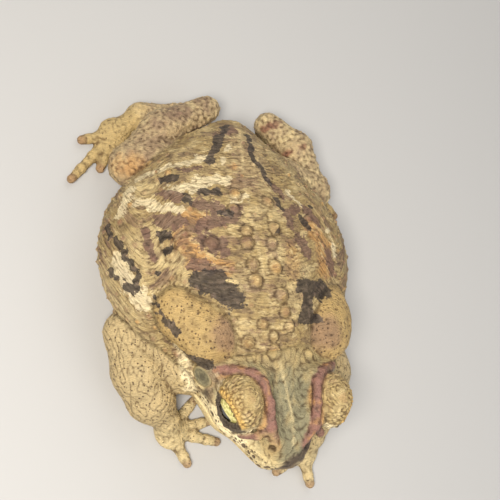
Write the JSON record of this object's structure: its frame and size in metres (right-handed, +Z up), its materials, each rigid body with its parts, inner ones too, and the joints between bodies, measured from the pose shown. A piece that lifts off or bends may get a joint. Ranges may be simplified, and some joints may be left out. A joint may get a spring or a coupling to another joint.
{
  "type": "cane toad",
  "caption": "Still life-size model of a large warty toad sitting flat on the floor, with crested head, gland swellings behind the eyes, bent limbs and webbed hind feet.",
  "frame": {"origin": "on the floor under the middle of the bounding box", "axes": "+Z up, -Y the way the toad faces, +X its left side"},
  "size_m": [0.1228, 0.1612, 0.0513],
  "materials": {
    "skin": "matt warty skin, olive tan with brown blotches",
    "pale_skin": "matt pale skin with brown dots",
    "gland": "matt pitted skin, yellow tan to purple brown",
    "ear_drum": "smooth thin skin, grey green",
    "eye": "wet gloss, yellow green iris with a black pupil"
  },
  "bodies": {
    "root": {"torso": "skin", "head": "skin", "lower_jaw": "pale_skin", "eye_right": "eye", "eye_left": "eye", "ear_drum_right": "ear_drum", "ear_drum_left": "ear_drum", "parotoid_gland_right": "gland", "parotoid_gland_left": "gland", "upper_arm_right": "skin", "upper_arm_left": "skin", "forearm_right": "skin", "forearm_left": "skin", "hand_right": "pale_skin", "hand_left": "pale_skin", "finger_1_right": "pale_skin", "finger_2_right": "pale_skin", "finger_3_right": "pale_skin", "finger_4_right": "pale_skin", "finger_1_left": "pale_skin", "finger_2_left": "pale_skin", "finger_3_left": "pale_skin", "finger_4_left": "pale_skin", "thigh_right": "skin", "thigh_left": "skin", "shank_right": "skin", "shank_left": "skin", "tarsus_right": "skin", "tarsus_left": "skin", "foot_right": "pale_skin", "foot_left": "pale_skin"}
  },
  "joints": []
}
